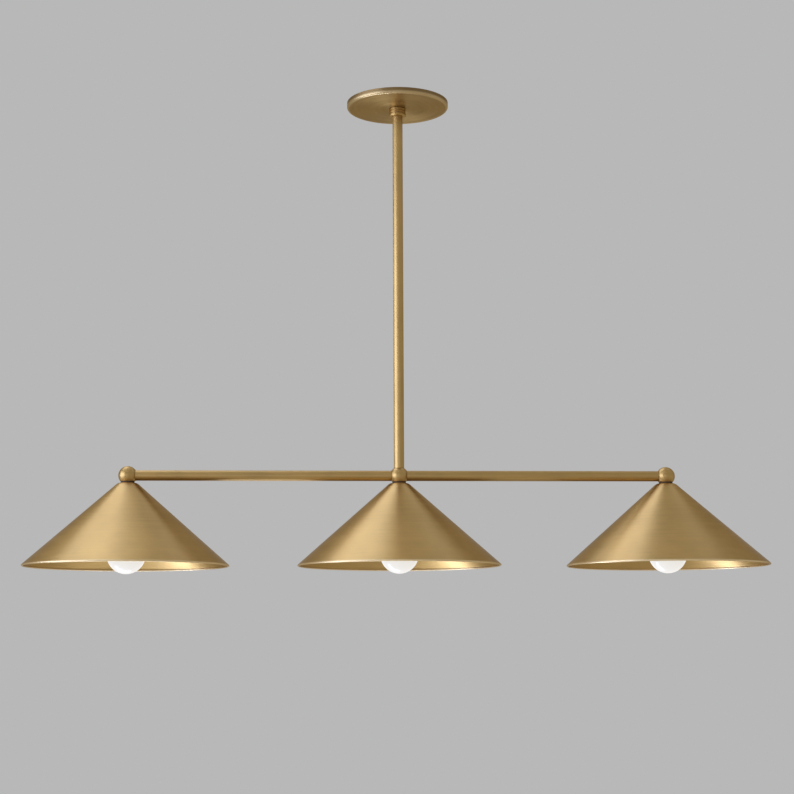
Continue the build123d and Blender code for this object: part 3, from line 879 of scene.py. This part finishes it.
def makeScrewCaps():
    low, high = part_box("centre_bulb_cap")
    radius, tip = radiusOf("centre_bulb_cap"), radiusOf("centre_bulb_tip")
    shoulder = radiusOf("centre_bulb_insulator")
    root, wall, corner = capSet["rootRadius"], capSet["wall"], capSet["shoulder"]
    threadTop = high.z - (root - shoulder)
    skirt = low.z + capSet["plainSkirt"]
    can = turned([(tip, high.z), (shoulder, high.z), (shoulder + corner[0], high.z - corner[1]),
                  (root, threadTop), (root, skirt + capSet["skirtFlare"]), (radius, skirt), (radius, low.z),
                  (radius - wall, low.z), (radius - wall, skirt), (root - wall, skirt),
                  (root - wall, threadTop), (tip, high.z - wall), (tip, high.z)])
    sheet = roundedThread(root, radius, skirt - capSet["threadBelow"], threadTop + capSet["threadAbove"])
    cap = joinPieces(can, sheet)
    for side in sides:
        piece = copyAt(cap, lampX[side])
        finishPiece(piece, side + "_threaded_cap", side + "_bulb", finishes["capMetal"],
                    [side + "_bulb_cap"], lampThreadSet["smooth"])
    bpy.data.objects.remove(cap)


shellSet = {
    "outer": 0.01375,
    "height": 0.024,
    "endHole": 0.006,
    "endWall": 0.0004,
    "endDrop": 0.0012,  # how far the closed end is folded down
    "threadDepth": 0.0006,
    "threadWall": 0.00035,
    "threadFrom": 0.0012,  # above the foot
    "threadTo": 0.001,  # below the closed end
    "lipHeight": 0.0014,
    "lipEdge": 0.0004,
    "lipFlare": 0.0003,
}

# the shell's terminal tab, and the rivet that holds it through the porcelain
tabSet = {
    "from": 0.0051,  # out from the lamp's axis
    "to": 0.0142,
    "width": 0.005,
    "thickness": 0.0008,
    "edgeRound": 0.00015,
    "rivetPlace": 0.0076,
    "rivetRadius": 0.0014,
    "rivetHead": ((0.0026, 0.0008), (0.0018, 0.0014), (axisGap, 0.0015)),  # radius and height
    "rivetSteps": 32,
}


def makeShellRings(foot, top):
    outer, wall, hole = shellSet["outer"], shellSet["endWall"], shellSet["endHole"]
    inner, drop = outer - wall, top - shellSet["endDrop"]
    end = turned([(hole, top), (outer, top), (outer, drop), (inner, drop), (inner, top - wall),
                  (hole, top - wall), (hole, top)])
    flare, rise = outer + shellSet["lipFlare"], foot + shellSet["lipHeight"]
    lip = turned([(inner, rise), (inner, foot), (flare, foot), (flare, foot + shellSet["lipEdge"]),
                  (outer, rise), (inner, rise)])
    return end, lip


def makeShellThread(foot, top):
    inner = shellSet["outer"] - shellSet["endWall"]
    sheet = roundedThread(inner, inner + shellSet["threadDepth"], foot + shellSet["threadFrom"],
                          top - shellSet["threadTo"], closed=False)
    thicken = sheet.modifiers.new("wall", "SOLIDIFY")
    thicken.thickness = shellSet["threadWall"]
    thicken.offset = -1
    applyModifiers(sheet)
    return sheet


def makeRivetAndTab(shellTop, seat):
    radius = tabSet["rivetRadius"]
    rivet = turned([(axisGap, shellTop), (radius, shellTop), (radius, seat)]
                   + [(wide, seat + rise) for wide, rise in tabSet["rivetHead"]], tabSet["rivetSteps"])
    bpy.ops.transform.translate(value=(0, -tabSet["rivetPlace"], 0))
    length, thickness = tabSet["to"] - tabSet["from"], tabSet["thickness"]
    middle = (0, -tabSet["from"] - length / 2, seat + thickness / 2)
    bpy.ops.object.select_all(action="DESELECT")
    bpy.ops.mesh.primitive_cube_add(size=1, location=middle, scale=(tabSet["width"], length, thickness))
    tab = bpy.context.active_object
    bpy.ops.object.transform_apply(location=True, rotation=True, scale=True)
    softenEdges(tab, tabSet["edgeRound"])
    return rivet, tab


def makeScrewShells():
    foot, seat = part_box("centre_screw_shell")[0].z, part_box("centre_socket_body")[1].z
    top = foot + shellSet["height"]
    end, lip = makeShellRings(foot, top)
    sheet = makeShellThread(foot, top)
    shell = joinPieces(end, sheet, lip, *makeRivetAndTab(top, seat))
    for side in sides:
        piece = copyAt(shell, lampX[side])
        finishPiece(piece, side + "_rolled_shell", "fixture", finishes["stampedBrass"],
                    [side + "_screw_shell"], lampThreadSet["smooth"])
    bpy.data.objects.remove(shell)


makeScrewCaps()
makeScrewShells()
print("screw caps and shells ready")

leadSet = {
    "strip": 0.0022,  # bare length at the end
    "lower": 0.00003,  # how far the bare end stops below the solid one
    "endReach": 0.0001,
    "strands": 6,  # round a middle one
    "strandRadius": 0.00027,
    "strandSteps": 10,
    "ringRadius": 0.00054,
    "lay": 6,  # tilt of the strands, degrees
    "sink": 0.0006,  # how far the strands start inside the lead
}


def makeStrands(top):
    low = top - leadSet["strip"] - leadSet["sink"]
    radius = leadSet["strandRadius"]
    outline = [(axisGap, low), (radius, low), (radius, top - radius / 2), (radius / 2, top), (axisGap, top)]
    bundle = turned(outline, leadSet["strandSteps"])
    for number in range(leadSet["strands"]):
        angle = radians(360 * number / leadSet["strands"])
        strand = turned(outline, leadSet["strandSteps"])
        openEdit()
        bpy.ops.transform.rotate(value=radians(leadSet["lay"]), orient_axis="X",
                                 center_override=(0, 0, top))
        bpy.ops.transform.translate(value=(leadSet["ringRadius"], 0, 0))
        bpy.ops.transform.rotate(value=angle, orient_axis="Z", center_override=(0, 0, 0))
        bpy.ops.object.mode_set(mode="OBJECT")
        bundle = joinPieces(bundle, strand)
    return bundle


def makeLeadEnds():
    bundle = None
    for side in sides:
        for word, finish, slot in (("live", "blackLead", "black_insulation"),
                                   ("neutral", "whiteLead", "white_insulation")):
            node = f"{side}_{word}_wire"
            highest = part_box(node)[1].z
            top = highest - leadSet["lower"]
            mesh = nodes[node].data.copy()
            ends = [corner.co for corner in mesh.vertices if corner.co.z > highest - leadSet["endReach"]]
            middle = sum(ends, Vector()) / len(ends)
            lead = bpy.data.objects.new(node + "_lead", mesh)
            bpy.context.scene.collection.objects.link(lead)
            makeActive(lead)
            openEdit()
            bpy.ops.mesh.customdata_custom_splitnormals_clear()
            bpy.ops.mesh.remove_doubles(threshold=mergeGap)
            bpy.ops.mesh.select_all(action="SELECT")
            bpy.ops.mesh.bisect(plane_co=(0, 0, top - leadSet["strip"]), plane_no=(0, 0, 1),
                                use_fill=True, clear_outer=True)
            closeEdit()
            finishPiece(lead, f"{side}_{word}_lead", "fixture", finishes[finish], [node])
            bundle = bundle or makeStrands(top)
            strands = copyAt(bundle, middle.x)
            bpy.ops.transform.translate(value=(0, middle.y, 0))
            finishPiece(strands, f"{side}_{word}_strands", "fixture",
                        finishes["copperStrand"], [])
    bpy.data.objects.remove(bundle)


makeLeadEnds()
print("leads stripped")
